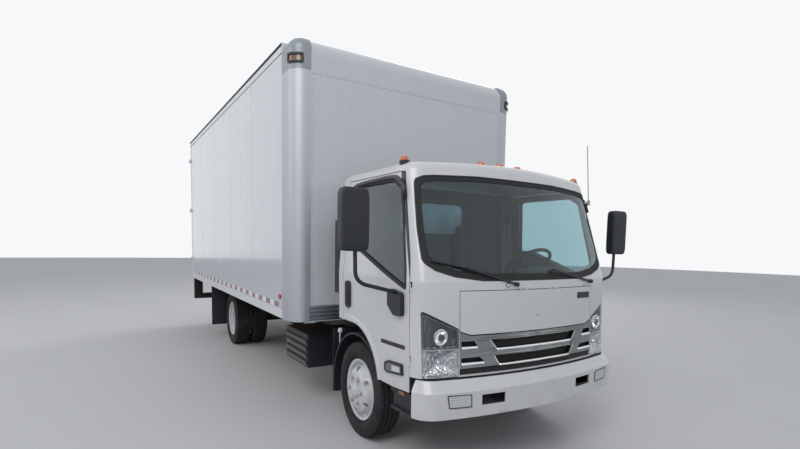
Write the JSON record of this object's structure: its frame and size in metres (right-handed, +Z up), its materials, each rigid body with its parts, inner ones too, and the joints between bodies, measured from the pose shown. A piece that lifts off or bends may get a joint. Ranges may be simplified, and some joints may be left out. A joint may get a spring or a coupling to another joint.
{
  "type": "box truck",
  "caption": "Low-cab-forward box truck with a tall smooth white load box, tilting cab, hinged doors, steered front wheels and dual rear wheels.",
  "frame": {"origin": "middle of the outer size in plan, on the ground under the tyres", "axes": "the front looks along -Y, the vehicle's left side is at +X, and +Z is up"},
  "size_m": [2.916, 8.111, 3.484],
  "materials": {
    "cab_white": "gloss",
    "box_white": "gloss",
    "wall_white": "satin",
    "polished_post": "polished",
    "cast_grey": "satin",
    "chrome": "polished",
    "black_plastic": "satin",
    "frame_black": "satin",
    "rim_white": "gloss",
    "tyre": "matt",
    "tinted_glass": "clear",
    "clear_lens": "clear",
    "lamp_inside": "polished",
    "amber_lens": "gloss",
    "red_lens": "gloss",
    "seat_cloth": "matt",
    "dash_grey": "matt",
    "dark_steel": "matt",
    "bare_steel": "satin",
    "floor_wood": "matt"
  },
  "bodies": {
    "chassis": {"frame_rails": "frame_black", "front_bumper": "cab_white", "front_axle": "dark_steel", "leaf_springs": "dark_steel", "rear_axle": "dark_steel", "engine_block": "dark_steel", "driveline": "dark_steel", "exhaust": "bare_steel", "fuel_tank": "frame_black", "battery_box": "black_plastic", "mud_guards": "black_plastic", "rear_bumper": "frame_black", "box_front_posts": "polished_post", "box_corner_caps": "cast_grey", "box_front_rail": "wall_white", "box_front_wall": "wall_white", "box_side_walls": "box_white", "box_side_rails": "box_white", "box_roof": "box_white", "box_floor": "floor_wood", "box_rear_frame": "box_white", "box_lamps": "red_lens"},
    "cab": {"cab_shell": "cab_white", "cab_glass": "tinted_glass", "grille": "chrome", "headlamp_lenses": "clear_lens", "headlamp_bodies": "lamp_inside", "dashboard": "dash_grey", "steering_wheel": "black_plastic", "seats": "seat_cloth", "cab_lower_trim": "black_plastic", "roof_lamps": "amber_lens", "air_duct": "black_plastic", "wipers": "black_plastic", "antenna": "bare_steel"},
    "front_lid": {"front_lid": "cab_white"},
    "cab_door_left": {"door_left": "cab_white", "door_glass_left": "tinted_glass", "mirror_left": "black_plastic"},
    "cab_door_right": {"door_right": "cab_white", "door_glass_right": "tinted_glass", "mirror_right": "black_plastic"},
    "rear_door_left": {"rear_door_left": "box_white"},
    "rear_door_right": {"rear_door_right": "box_white"},
    "knuckle_left": {"knuckle_left": "dark_steel"},
    "knuckle_right": {"knuckle_right": "dark_steel"},
    "front_wheel_left": {"front_rim_left": "rim_white", "front_tyre_left": "tyre"},
    "front_wheel_right": {"front_rim_right": "rim_white", "front_tyre_right": "tyre"},
    "rear_wheel_left": {"rear_rims_left": "rim_white", "rear_tyres_left": "tyre"},
    "rear_wheel_right": {"rear_rims_right": "rim_white", "rear_tyres_right": "tyre"}
  },
  "joints": [
    {"name": "cab_tilt", "type": "hinge", "parent": "chassis", "child": "cab", "pos_m": [0, -3.8305, 0.78], "axis": [1, 0, 0], "range_deg": [0, 45]},
    {"name": "front_lid_hinge", "type": "hinge", "parent": "cab", "child": "front_lid", "pos_m": [0, -3.94989, 1.343], "axis": [-1, 0, 0], "range_deg": [0, 70]},
    {"name": "cab_door_left_hinge", "type": "hinge", "parent": "cab", "child": "cab_door_left", "pos_m": [0.987, -3.7325, 1.1], "axis": [0, 0, -1], "range_deg": [0, 70]},
    {"name": "cab_door_right_hinge", "type": "hinge", "parent": "cab", "child": "cab_door_right", "pos_m": [-0.987, -3.7325, 1.1], "axis": [0, 0, 1], "range_deg": [0, 70]},
    {"name": "rear_door_left_hinge", "type": "hinge", "parent": "chassis", "child": "rear_door_left", "pos_m": [1.31, 4.0355, 2.18], "axis": [0, 0, -1], "range_deg": [0, 250]},
    {"name": "rear_door_right_hinge", "type": "hinge", "parent": "chassis", "child": "rear_door_right", "pos_m": [-1.31, 4.0355, 2.18], "axis": [0, 0, 1], "range_deg": [0, 250]},
    {"name": "steer_left", "type": "hinge", "parent": "chassis", "child": "knuckle_left", "pos_m": [0.715, -2.8105, 0.4045], "axis": [0, 0, 1], "range_deg": [-36, 36]},
    {"name": "steer_right", "type": "hinge", "parent": "chassis", "child": "knuckle_right", "pos_m": [-0.715, -2.8105, 0.4045], "axis": [0, 0, 1], "range_deg": [-36, 36]},
    {"name": "front_wheel_left_spin", "type": "hinge", "parent": "knuckle_left", "child": "front_wheel_left", "pos_m": [0.8325, -2.8105, 0.4045], "axis": [1, 0, 0], "continuous": true},
    {"name": "front_wheel_right_spin", "type": "hinge", "parent": "knuckle_right", "child": "front_wheel_right", "pos_m": [-0.8325, -2.8105, 0.4045], "axis": [1, 0, 0], "continuous": true},
    {"name": "rear_wheel_left_spin", "type": "hinge", "parent": "chassis", "child": "rear_wheel_left", "pos_m": [0.825, 1.6595, 0.4045], "axis": [1, 0, 0], "continuous": true},
    {"name": "rear_wheel_right_spin", "type": "hinge", "parent": "chassis", "child": "rear_wheel_right", "pos_m": [-0.825, 1.6595, 0.4045], "axis": [1, 0, 0], "continuous": true}
  ],
  "couplings": [
    {"joint": "steer_right", "follows": "steer_left", "ratio": 1}
  ]
}
